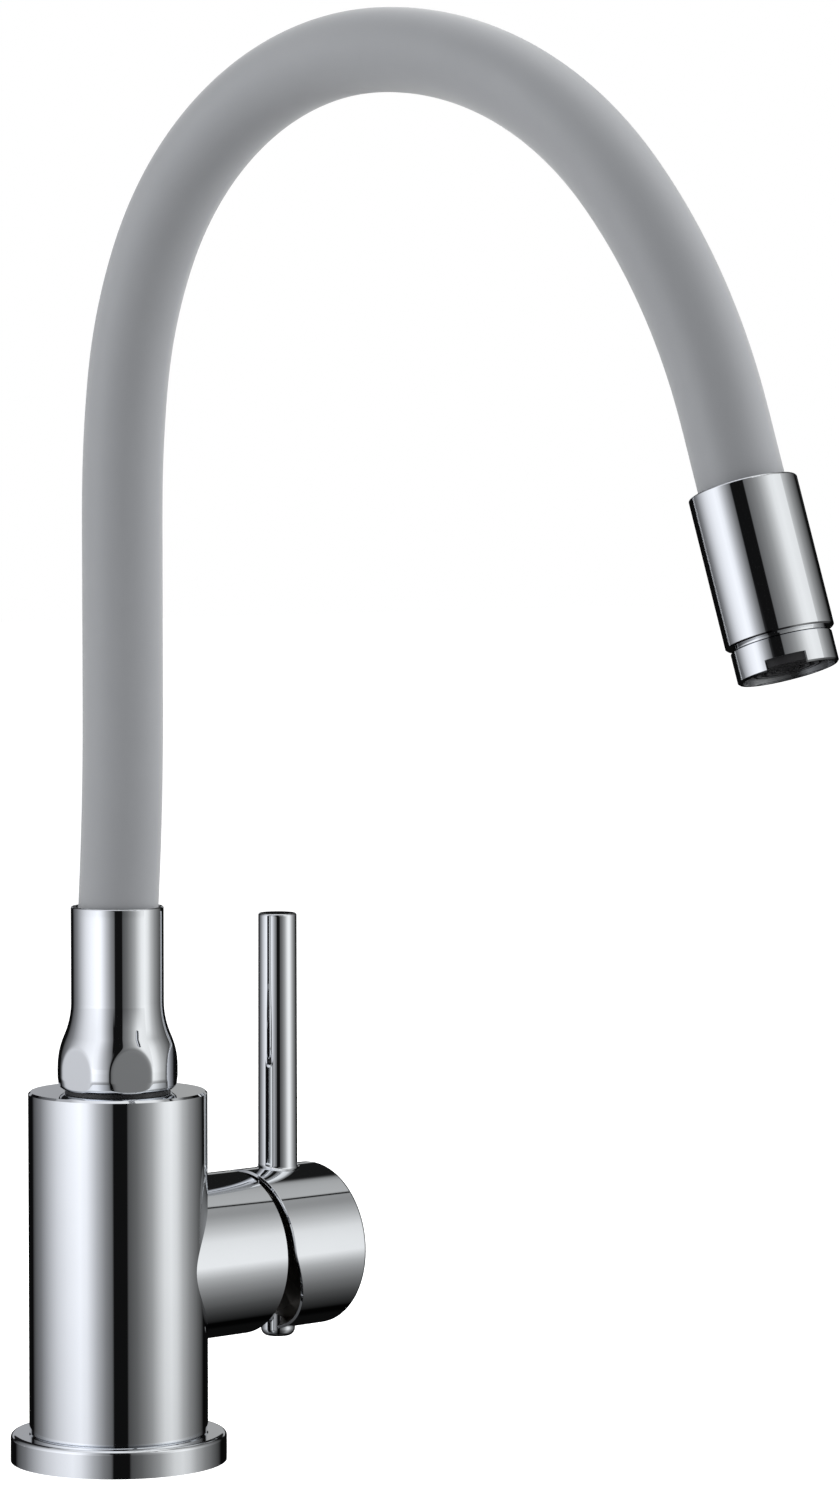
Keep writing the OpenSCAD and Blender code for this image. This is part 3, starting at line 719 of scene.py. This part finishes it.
@dataclass
class FlexibleHose:
    """Silicone sleeve over a bendable conduit over the water tube, arched to the head."""

    route: HoseRoute = field(default_factory=HoseRoute)
    foot_z: float = 129.4
    flex_start: tuple[float, float] = (2.8, 269.7)
    flex_end: tuple[float, float] = (200.5, 284.4)
    layers: tuple[HoseLayer, ...] = (
        HoseLayer("silicone_sleeve", "hose_sleeve", SILICONE, 10.7, 7.1, 96, 4),
        HoseLayer("coiled_conduit", "hose_conduit", CONDUIT, 7.0, 5.2, 32, 2, ridge=0.35),
        HoseLayer("inner_tube", "water_tube", TUBE, 4.0, 2.8, 24, 6),
    )

    def build(self) -> None:
        """Makes the three tubes."""
        for layer in self.layers:
            self._tube(layer)

    def _tube(self, layer: HoseLayer) -> None:
        """Sweeps a ring wall along the route.

        Formula: point = path + r cos(a) * side + r sin(a) * square, where side leans with the
        path in its plane and square stands out of it. The outer wall runs out and the inner
        wall back, so the closed section is a loop of rows. A ridged wall dips by the ridge's
        depth once in each pitch.

        Args:
            layer: The tube's sizes and finish.
        """
        lean, path = self.route.lean_and_path()
        keep = np.unique(np.append(np.arange(0, len(lean), layer.stride), len(lean) - 1))
        lean, path = lean[keep], path[keep]
        travelled = keep * self.route.step
        wave = 0.5 - 0.5 * np.cos(2 * math.pi * travelled / layer.ridge_pitch)
        outer = layer.outer - layer.ridge * wave
        rows_lean = np.concatenate([lean, lean[::-1]])
        rows_path = np.concatenate([path, path[::-1]])
        radius = np.concatenate([outer, np.full(len(lean), layer.inner)])
        ahead = spout_direction()
        up = np.array([0.0, 0.0, 1.0])
        square = np.cross(up, ahead)
        angles = polar_columns(layer.columns)
        side = np.cos(rows_lean)[:, None] * ahead - np.sin(rows_lean)[:, None] * up
        centre = rows_path[:, :1] * ahead + (self.foot_z + rows_path[:, 1:]) * up
        ring = (np.cos(angles)[None, :, None] * side[:, None, :]
                + np.sin(angles)[None, :, None] * square)
        points = centre[:, None, :] + radius[:, None, None] * ring
        piece = Piece(layer.name, layer.finish, Role.SPOUT).add(Grid(points, loop=True))
        made = piece.make(replaces=[layer.node], ride=False, crisp=60.0)
        self._world(self.flex_start)
        self._world(self.flex_end)
        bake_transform(made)

    @staticmethod
    def _world(place: tuple[float, float]) -> Triple:
        """A point of the arch's plane in the tap's frame, in metres."""
        point = (place[0] * spout_direction() + np.array([0.0, 0.0, place[1]])) * MM
        return tuple(float(v) for v in point)


@dataclass
class NeckCollar:
    """Swivelling collar: a tube on a swelling foot with six soft wrench flats."""

    bottom: float = 100.0
    foot_h: float = 5.5
    lip_in: float = 0.4
    lip_h: float = 0.9
    swell_h: float = 3.4
    foot_rounds: tuple[float, ...] = (0, 0.5, 1.2, 4.0, 0)
    shoulder_h: float = 18.0
    top: float = 149.0
    mouth_rounds: tuple[float, ...] = (0, 0.45, 0.2, 0, 0, 0, 0)
    foot_low_r: float = 14.55
    foot_r: float = 16.15
    tube_r: float = 12.4
    inner_r: float = 11.3
    web_r: float = 7.05
    web_low: float = 122.4
    web_high: float = 127.4
    post_r: float = 9.05
    flat_r: float = 15.1
    flats_turn: float = 27.0
    flat_soft: float = 0.07
    skin: float = 0.3
    flats_top: float = 129.0
    ogee_rows: int = 34
    columns: int = 432

    def _ogee(self) -> np.ndarray:
        """The shoulder between foot and tube as two equal tangent arcs.

        Formula: with half height h / 2 and sweep w = 2 atan(dr / h), each arc has radius
        h / (2 sin w), the lower one bulging out and the upper one hollow.

        Returns:
            Array (rows, 2) of radius and height from the foot upwards.
        """
        drop = self.foot_r - self.tube_r
        sweep = 2.0 * math.atan(drop / self.shoulder_h)
        radius = self.shoulder_h / (2.0 * math.sin(sweep))
        turn = np.linspace(0.0, sweep, self.ogee_rows)
        low = [self.foot_r - radius + radius * np.cos(turn), radius * np.sin(turn)]
        back = turn[::-1]
        high = [self.tube_r + radius - radius * np.cos(back),
                self.shoulder_h - radius * np.sin(back)]
        both = np.concatenate([np.stack(low, axis=1), np.stack(high, axis=1)[1:]])
        return both + np.array([0.0, self.bottom + self.foot_h])

    def build(self) -> None:
        """Makes the collar in place of its CAD node.

        Formula: the outer radius is the softened lesser of the turned profile and the flat's
        distance over the cosine of the angle from the nearest flat's middle.
        """
        angles = polar_columns(self.columns)
        foot_top = self.bottom + self.foot_h
        foot = rounded_profile(
            [(self.post_r, self.bottom), (self.foot_low_r, self.bottom),
             (self.foot_r - self.lip_in, self.bottom + self.lip_h),
             (self.foot_r, self.bottom + self.swell_h), (self.foot_r, foot_top)],
            self.foot_rounds, steps=6, hold=0.1)
        inside = rounded_profile(
            [(self.tube_r, foot_top + self.shoulder_h), (self.tube_r, self.top),
             (self.inner_r, self.top), (self.inner_r, self.web_high),
             (self.web_r, self.web_high), (self.web_r, self.web_low),
             (self.post_r, self.web_low)],
            self.mouth_rounds, steps=6)
        profile = np.concatenate([foot[:, 0], self._ogee()[1:], inside[1:, 0]])[:, None, :]
        points = revolve(profile, angles)
        yaw = math.radians(SPOUT_YAW - 90.0 + self.flats_turn)
        sixth = math.pi / 3.0
        off = (angles - yaw + sixth / 2.0) % sixth - sixth / 2.0
        flat = self.flat_r / np.cos(off)
        radius = np.hypot(points[..., 0], points[..., 1])
        is_skin = (radius > self.tube_r - self.skin) & (points[..., 2] < self.flats_top)
        soft = -self.flat_soft * np.logaddexp(-radius / self.flat_soft, -flat / self.flat_soft)
        scale = np.where(is_skin, soft / np.maximum(radius, 1e-6), 1.0)
        points[..., :2] *= scale[..., None]
        piece = Piece("swivel_collar", CHROME, Role.SPOUT).add(Grid(points, loop=True))
        piece.make(replaces=["neck_collar"])


@dataclass
class HandleCap:
    """Tilting cap over the valve, its lower rear cut away in a flowing curve."""

    rear: float = 43.5
    end: float = 69.4
    floor: float = 51.7
    wall: float = 2.1
    cut_start: float = 0.87
    cut_slope: float = 0.404
    cut_soft: float = 1.6
    bevel: tuple[float, float] = (0.32, 0.68)
    taper: float = 2.0
    relief: float = 2.6
    rounds: tuple[float, ...] = (0, 0, 0, 0, 0.06, 0.12, 1.0, 0)
    hold: float = 0.05
    columns: int = 720

    def _rear_edge(self, height: np.ndarray) -> np.ndarray:
        """How far out the rear edge lies at a height above the valve's axis.

        Formula: rear + slope * softened ramp of (cut_start - height).
        """
        return self.rear + self.cut_slope * smooth_ramp(self.cut_start - height, self.cut_soft)

    def build(self) -> None:
        """Makes the cap in place of its CAD node."""
        angles = polar_columns(self.columns)
        rise = np.cos(angles)
        bevel_x, bevel_r = self.bevel
        inner_r = VALVE_R - self.wall
        thin_r = VALVE_R - bevel_r
        lip = self._rear_edge(VALVE_R * rise)
        floor = np.maximum(self.floor, lip + self.relief)
        profile = rounded_profile(
            [(0.0, self.floor), (inner_r - self.relief, self.floor), (inner_r, floor),
             (inner_r, lip + self.taper), (thin_r, lip), (VALVE_R, lip + bevel_x),
             (VALVE_R, self.end), (0.0, self.end)],
            self.rounds, hold=self.hold)
        grid = Grid(revolve(profile, angles), pole_start=True, pole_end=True)
        along = Placement((0.0, 0.0, VALVE_Z), (0.0, 0.0, 1.0), (1.0, 0.0, 0.0))

        def hollow(centres: np.ndarray) -> np.ndarray:
            """Faces of the hollow, which take the painted shade: short of the cap's middle and
            inside its rim.
            """
            radius = np.hypot(centres[:, 1], centres[:, 2] - VALVE_Z)
            return (centres[:, 0] < self.end - self.relief) & (radius < thin_r - self.hold)

        # The hollow's faces take the dark chrome as painted shade in place of the bright chrome.
        piece = Piece("lever_cap", CHROME, Role.LEVER, shaded_faces=(SHADE_PAINTED_CHROME, hollow))
        piece.add(grid, along).make(replaces=["handle_cap"])


@dataclass
class LeverRod:
    """Straight lever rod with a small fillet where it leaves the cap.

    The fillet's foot ends in a skirt that is sunk a little into the cap.
    """

    foot_r: float = 5.4
    tip_r: float = 5.25
    top: float = 144.0
    root: float = 66.0
    fillet: float = 0.9
    skirt: float = 0.1
    sink: float = 0.02
    tip_round: float = 0.55
    columns: int = 128

    def build(self) -> None:
        """Makes the rod in place of its CAD node.

        Formula: the fillet's foot follows the cap, at height root of R^2 less y^2 above the
        valve's axis, where y is how far the point stands off the cap's crest.
        """
        angles = polar_columns(self.columns)
        wide = self.foot_r + self.fillet
        edge = wide + self.skirt

        def crest(radius: float) -> np.ndarray:
            """Height of the cap's skin round the rod at a radius."""
            return VALVE_Z + np.sqrt(VALVE_R ** 2 - (radius * np.sin(angles)) ** 2)

        profile = rounded_profile(
            [(0.0, self.root), (edge, self.root), (edge, crest(wide) - self.sink),
             (self.foot_r, crest(self.foot_r)), (self.tip_r, self.top), (0.0, self.top)],
            [0, 0, 0, self.fillet, self.tip_round, 0], steps=6)
        grid = Grid(revolve(profile, angles), pole_start=True, pole_end=True)
        piece = Piece("lever_pin", CHROME, Role.LEVER).add(grid, Placement((ROD_S, 0.0, 0.0)))
        piece.make(replaces=["lever_rod"])


@dataclass
class CapPlug:
    """Small domed plug under the cap that covers the grub screw."""

    radius: float = 4.7
    root: float = 16.3
    proud: float = 2.4
    shoulder: float = 2.3
    dome: float = 0.3
    crown: float = 0.6
    crown_rows: int = 6
    columns: int = 96

    def build(self) -> None:
        """Makes the plug in place of its CAD node.

        Formula: its end is a shallow dome, dome * (1 - (r / radius)^2) above its rim, with rows
        of its own inside the share crown of the radius.
        """
        angles = polar_columns(self.columns)
        rim = VALVE_R + self.proud - self.dome
        side = rounded_profile(
            [(0.0, self.root), (self.radius, self.root), (self.radius, rim),
             (self.radius * self.crown, rim + self.dome * (1 - self.crown ** 2))],
            [0, 0, self.shoulder - self.dome, 0], steps=9)
        share = np.linspace(self.crown, 0.0, self.crown_rows + 1)[1:, None]
        crown = np.stack([self.radius * share, rim + self.dome * (1 - share ** 2)], axis=-1)
        grid = Grid(revolve(np.concatenate([side, crown]), angles), pole_start=True, pole_end=True)
        down = Placement((ROD_S, 0.0, VALVE_Z), (1.0, 0.0, 0.0), (0.0, 0.0, -1.0))
        Piece("plug_button", CHROME, Role.LEVER).add(grid, down).make(replaces=["cap_plug"])


@dataclass(frozen=True)
class Softbox:
    """A square area lamp: where it hangs, its side in metres and its power in watts."""

    name: str
    place: Triple
    size: float
    power: float

    def hang(self, aim: Triple) -> None:
        """Adds the lamp to the scene, unseen by gloss.

        Args:
            aim: The point that it is turned to, in metres.
        """
        data = bpy.data.lights.new(self.name, "AREA")
        data.shape = "SQUARE"
        data.size = self.size
        data.energy = self.power
        lamp = add_object(self.name, data)
        lamp.location = self.place
        way = np.array(aim) - np.array(self.place)
        yaw = math.atan2(way[1], way[0])
        pitch = math.atan2(way[2], math.hypot(way[0], way[1]))
        lamp.rotation_euler = (math.pi / 2 + pitch, 0.0, yaw - math.pi / 2)
        lamp.visible_glossy = False


@dataclass
class Studio:
    """Camera, plain floor, soft lamps and the surroundings that chrome reflects.

    Places and lengths are in metres, the lens and the sensor in millimetres.
    """

    eye: Triple = (-0.87305, -1.09031, 0.26649)
    turn: Triple = (86.89, 0.0, -42.0)
    lens: float = 125.66
    sensor: float = 36.0
    sight: float = 20.0
    floor_reach: float = 6.0
    floor_grey: float = 0.8
    floor_glow: float = 0.62
    aim: Triple = (0.02, -0.06, 0.2)
    lamps: tuple[Softbox, ...] = (
        Softbox("key_softbox", (-1.10, 0.45, 0.80), 0.8, 15.0),
        Softbox("fill_softbox", (0.79, -0.97, 0.60), 0.8, 11.0),
        Softbox("top_softbox", (0.6, -0.3, 1.3), 0.9, 11.0))
    # What gloss sees at eye level: degrees from the camera, positive to its right, and grey
    level: Stops = (
        (-180, 0.004), (-143, 0.004), (-136, 0.09), (-118, 0.22), (-107, 0.38), (-96, 0.56),
        (-84, 0.76), (-68, 0.96), (-50, 1.12), (-41, 1.0), (-34, 0.76), (-27, 0.52), (-16, 0.25),
        (-7.5, 0.13), (-6, 0.006), (11.5, 0.006), (13, 0.08), (24, 0.14), (35, 0.25), (44, 0.37),
        (53, 0.60), (62, 0.82), (72, 0.90), (81, 0.77), (92, 0.48), (105, 0.28), (120, 0.15),
        (133, 0.065), (140, 0.004), (180, 0.004))
    # The same high overhead, with a dark joint between two ceiling panels
    ceiling: Stops = (
        (-180, 0.010), (-158, 0.010), (-150, 0.35), (-60, 0.60), (0, 0.30), (60, 0.34), (104, 0.33),
        (113.2, 0.31), (113.9, 0.01), (116.2, 0.01), (116.9, 0.46), (135, 0.43), (152, 0.36),
        (159, 0.010), (180, 0.010))
    # Behind the tap, by the sine of the ray's height: dark, a low pale wall, then dark again
    behind: Stops = (
        (-1, 0.004), (0.09, 0.004), (0.105, 0.37), (0.21, 0.37), (0.24, 0.010), (1, 0.010))
    # Share of the level panels left, by the sine of the ray's height
    dim: Stops = (
        (-0.85, 0.04), (-0.78, 0.21), (-0.70, 0.27), (-0.60, 0.32), (-0.47, 0.39), (-0.38, 0.47),
        (-0.29, 0.59), (-0.20, 0.80), (-0.14, 0.97), (-0.09, 1.1), (0.35, 1.06), (0.5, 0.92),
        (0.7, 0.85))
    # Where, by the sine of the ray's height, the ceiling and the bright panel overhead take over
    ceiling_from: Stops = ((0.66, 0.0), (0.74, 1.0))
    zenith_from: Stops = ((0.84, 0.0), (0.9, 1.0))
    # Where, by azimuth, the wall behind the tap takes over
    behind_from: Stops = ((-157, 1.0), (-150, 0.0), (150, 0.0), (157, 1.0))
    zenith: Colour = (0.85, 0.85, 0.85)
    ambient: Colour = (0.55, 0.555, 0.56)
    # Greys of the near tent wall by azimuth, then in metres its radius, its foot, the height
    # below which it blends into the level panels, and its top
    tent: Stops = (
        (-150, 0.004), (-143, 0.004), (-136, 0.09), (-118, 0.22), (-107, 0.38), (-96, 0.56),
        (-84, 0.74), (-68, 0.93), (-50, 1.04), (-41, 0.97), (-34, 0.74), (-27, 0.50), (-18, 0.26),
        (-11.5, 0.13), (-10, 0.006), (11.5, 0.006), (12.5, 0.13), (24, 0.22), (32, 0.33),
        (40, 0.54), (49, 0.84), (56, 0.91), (63, 0.87), (70, 0.84))
    tent_r: float = 0.5
    tent_low: float = 0.105
    tent_full: float = 0.33
    tent_high: float = 0.6
    tent_columns: int = 120
    # Tint of the light on the camera's left and on its right, and where it changes
    tint_from: Stops = ((-30, 0.0), (30, 1.0))
    cool: Colour = (0.965, 0.985, 1.03)
    warm: Colour = (0.985, 1.0, 1.0)

    def build(self) -> None:
        """Makes the camera, the floor, the tent wall, the lamps and the world."""
        self._camera()
        self._floor()
        self._tent()
        for lamp in self.lamps:
            lamp.hang(self.aim)
        self._world()

    def _camera(self) -> None:
        """Sets the camera at the photograph's viewpoint."""
        data = bpy.data.cameras.new("photo_camera")
        data.sensor_fit = "VERTICAL"
        data.sensor_height = self.sensor
        data.lens = self.lens
        data.clip_end = self.sight
        camera = add_object("photo_camera", data)
        camera.location = self.eye
        camera.rotation_euler = tuple(math.radians(a) for a in self.turn)
        bpy.context.scene.camera = camera

    @staticmethod
    def _bare_material(mesh: bpy.types.Mesh, name: str) -> Graph:
        """Gives a mesh a new material without any nodes.

        Args:
            mesh: The mesh.
            name: The material's name.

        Returns:
            The material's empty node tree.
        """
        material = bpy.data.materials.new(name)
        material.use_nodes = True
        material.node_tree.nodes.clear()
        mesh.materials.append(material)
        return Graph(material.node_tree)

    def _floor(self) -> None:
        """Lays a large pale floor that the camera sees as white, apart from the shadow."""
        reach = self.floor_reach
        mesh = bpy.data.meshes.new("studio_floor")
        mesh.from_pydata([(-reach, -reach, 0), (reach, -reach, 0), (reach, reach, 0),
                          (-reach, reach, 0)], [], [(0, 1, 2, 3)])
        floor = add_object("studio_floor", mesh)
        floor.visible_glossy = False
        graph = self._bare_material(mesh, "pale_floor")
        grey = self.floor_grey
        pale = graph.add("BsdfDiffuse", {"Color": opaque((grey, grey, grey))})
        path = graph.add("LightPath")
        lift = graph.maths("MULTIPLY", path.outputs["Is Camera Ray"], self.floor_glow)
        glow = graph.add("Emission", {"Strength": lift})
        both = graph.add("AddShader", {0: pale.outputs["BSDF"], 1: glow.outputs["Emission"]})
        graph.add("OutputMaterial", {"Surface": both.outputs["Shader"]})

    def _tent(self) -> None:
        """Stands a glowing tent wall that only gloss sees, near enough to shift with the place.

        Formula: column k stands at tent_r * (cos b, sin b), where bearing b runs evenly from the
        camera's plus the first stop to the camera's plus the last.
        """
        facing = math.atan2(self.eye[1], self.eye[0])
        bearing = facing + np.radians(
            np.linspace(self.tent[0][0], self.tent[-1][0], self.tent_columns))
        ring = np.stack([np.cos(bearing), np.sin(bearing)], axis=1) * self.tent_r
        low, high = (np.column_stack([ring, np.full(len(ring), z)])
                     for z in (self.tent_low, self.tent_high))
        count = len(ring)
        mesh = bpy.data.meshes.new("tent_wall")
        mesh.from_pydata(np.concatenate([low, high]).tolist(), [],
                         [(k, k + 1, count + k + 1, count + k) for k in range(count - 1)])
        wall = add_object("tent_wall", mesh)
        wall.visible_camera = wall.visible_diffuse = wall.visible_shadow = False
        graph = self._bare_material(mesh, "tent_glow")
        azimuth, height = self._azimuth(graph, graph.add("TexCoord").outputs["Object"])
        climb = graph.ramp(((self.tent_low, 0.0), (self.tent_full, 1.0)), height, (0.0, 1.0))
        grey = graph.mix(climb, graph.ramp(self.level, azimuth, ROUND),
                         graph.ramp(self.tent, azimuth, ROUND))
        glow = graph.add("Emission", {"Color": self._tinted(graph, azimuth, grey)})
        graph.add("OutputMaterial", {"Surface": glow.outputs["Emission"]})

    def _azimuth(self, graph: Graph,
                 way: bpy.types.NodeSocket) -> tuple[bpy.types.NodeSocket, bpy.types.NodeSocket]:
        """Azimuth and height of a direction or place.

        Formula: its bearing about Z less the camera's, folded into half a turn each way.

        Args:
            graph: The tree to add the nodes to.
            way: The direction or place.

        Returns:
            The sockets of the azimuth in degrees and of the height.
        """
        parts = graph.add("SeparateXYZ", {"Vector": way}).outputs
        bearing = graph.maths("ARCTAN2", parts["Y"], parts["X"])
        offset = math.atan2(self.eye[1], self.eye[0]) - math.pi
        turns = graph.maths("DIVIDE", graph.maths("SUBTRACT", bearing, offset), math.tau)
        share = graph.maths("FRACT", turns)
        azimuth = graph.maths("SUBTRACT", graph.maths("MULTIPLY", share, 360.0), 180.0)
        return azimuth, parts["Z"]

    def _tinted(self, graph: Graph, azimuth: bpy.types.NodeSocket,
                grey: bpy.types.NodeSocket) -> bpy.types.NodeSocket:
        """Grey light tinted cool on the camera's left and warm on its right."""
        side = graph.ramp(self.tint_from, azimuth, ROUND)
        return graph.mix(1.0, grey, graph.mix(side, self.cool, self.warm), "MULTIPLY")

    def _world(self) -> None:
        """Surroundings: white to the camera, panels and dark gaps to gloss, soft to the rest.

        Formula: the level panels at the ray's azimuth are dimmed by the ray's height. They give
        way to the ceiling, to the wall behind the tap and to the panel overhead, in this order.
        """
        world = bpy.data.worlds.new("studio_surround")
        bpy.context.scene.world = world
        world.use_nodes = True
        world.node_tree.nodes.clear()
        graph = Graph(world.node_tree)
        azimuth, height = self._azimuth(graph, graph.add("TexCoord").outputs["Generated"])
        gloss = graph.mix(1.0, graph.ramp(self.level, azimuth, ROUND),
                          graph.ramp(self.dim, height, SINES), "MULTIPLY")
        ceiling = graph.ramp(self.ceiling, azimuth, ROUND)
        gloss = graph.mix(graph.ramp(self.ceiling_from, height, SINES), gloss, ceiling)
        behind = graph.ramp(self.behind, height, SINES)
        gloss = graph.mix(graph.ramp(self.behind_from, azimuth, ROUND), gloss, behind)
        gloss = graph.mix(graph.ramp(self.zenith_from, height, SINES), gloss, self.zenith)
        ray = graph.add("LightPath").outputs
        lit = graph.mix(ray["Is Glossy Ray"], self.ambient, self._tinted(graph, azimuth, gloss))
        seen = graph.maths("MAXIMUM", ray["Is Camera Ray"], ray["Is Transmission Ray"])
        background = graph.add("Background", {"Color": graph.mix(seen, lit, WHITE)})
        graph.add("OutputWorld", {"Surface": background.outputs["Background"]})


def dress_nodes() -> None:
    """Gives every CAD node its procedural finish."""
    finishes = {name: finish for finish, names in DRESSED for name in names.split()}
    for name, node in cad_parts.items():
        if not node.material_slots:
            node.data.materials.append(None)
        for place in node.material_slots:
            place.material = finishes[name].material()
        LOG.info("%s: %s", name, finishes[name].name)


def main() -> None:
    """Builds the studio, dresses the CAD nodes and makes the finer pieces."""
    logging.basicConfig(level=logging.INFO, format="%(name)s: %(message)s")
    bpy.context.scene.view_settings.view_transform = "Standard"
    Studio().build()
    dress_nodes()
    for part in (FlexibleHose(), NeckCollar(), HandleCap(), LeverRod(), CapPlug()):
        part.build()
        LOG.info("%s built", type(part).__name__)


if __name__ == "__main__":
    main()
